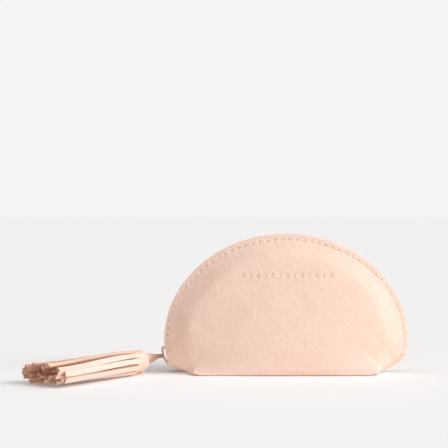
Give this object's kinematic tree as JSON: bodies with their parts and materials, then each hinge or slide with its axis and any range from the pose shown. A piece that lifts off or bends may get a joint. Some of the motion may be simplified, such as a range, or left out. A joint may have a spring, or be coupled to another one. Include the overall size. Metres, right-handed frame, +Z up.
{
  "type": "zippered pouch",
  "caption": "Half-moon leather pouch with boxed lower corners, a zip round its dome, and a fringed leather tassel looped on the slider.",
  "frame": {"origin": "centre of the flat base, on the surface the pouch stands on", "axes": "+X along the pouch away from the tassel, +Y from the front panel to the back panel, +Z up"},
  "size_m": [0.2518, 0.1086, 0.094],
  "materials": {
    "natural_leather": "natural, fine pebbled grain, raw tan cut edges",
    "thread": "waxed thread",
    "zip_tape": "woven twill tape",
    "rose_gold_metal": "light rose gold, polished"
  },
  "bodies": {
    "base": {"leather_base": "natural_leather", "stitching_left_end": "thread", "stitching_right_end": "thread", "tape_end_left": "zip_tape", "tape_end_right": "zip_tape", "end_teeth_left": "rose_gold_metal", "end_teeth_right": "rose_gold_metal", "top_stops": "rose_gold_metal", "bottom_stop": "rose_gold_metal"},
    "front_panel": {"leather_front": "natural_leather", "stitching_front": "thread", "zipper_tape_front": "zip_tape", "zipper_teeth_front": "rose_gold_metal"},
    "back_panel": {"leather_back": "natural_leather", "stitching_back": "thread", "zipper_tape_back": "zip_tape", "zipper_teeth_back": "rose_gold_metal"},
    "slider": {"slider_body": "rose_gold_metal", "slider_bridge": "rose_gold_metal"},
    "lace_loop": {"tassel_loop": "natural_leather"},
    "tassel": {"tassel_tail": "natural_leather", "tassel_band": "natural_leather", "tassel_fringe": "natural_leather"}
  },
  "joints": [
    {"name": "front_panel_open", "type": "hinge", "parent": "base", "child": "front_panel", "pos_m": [0, -0.0276, 0.014], "axis": [1, 0, 0], "range_deg": [0, 13], "stiffness_Nm_per_rad": 0.01},
    {"name": "back_panel_open", "type": "hinge", "parent": "base", "child": "back_panel", "pos_m": [0, 0.0276, 0.014], "axis": [-1, 0, 0], "range_deg": [0, 13], "stiffness_Nm_per_rad": 0.01},
    {"name": "slider_travel", "type": "hinge", "parent": "base", "child": "slider", "pos_m": [0, 0, 0.0105], "axis": [0, 1, 0], "range_deg": [0, 176]},
    {"name": "lace_swing", "type": "hinge", "parent": "slider", "child": "lace_loop", "pos_m": [-0.08495, 0, 0.0104], "axis": [0, 0, 1], "range_deg": [-85, 10]},
    {"name": "tassel_bend", "type": "hinge", "parent": "lace_loop", "child": "tassel", "pos_m": [-0.08906, -0.0049, 0.0104], "axis": [-0.766, 0.6428, 0], "range_deg": [-60, 60]}
  ]
}
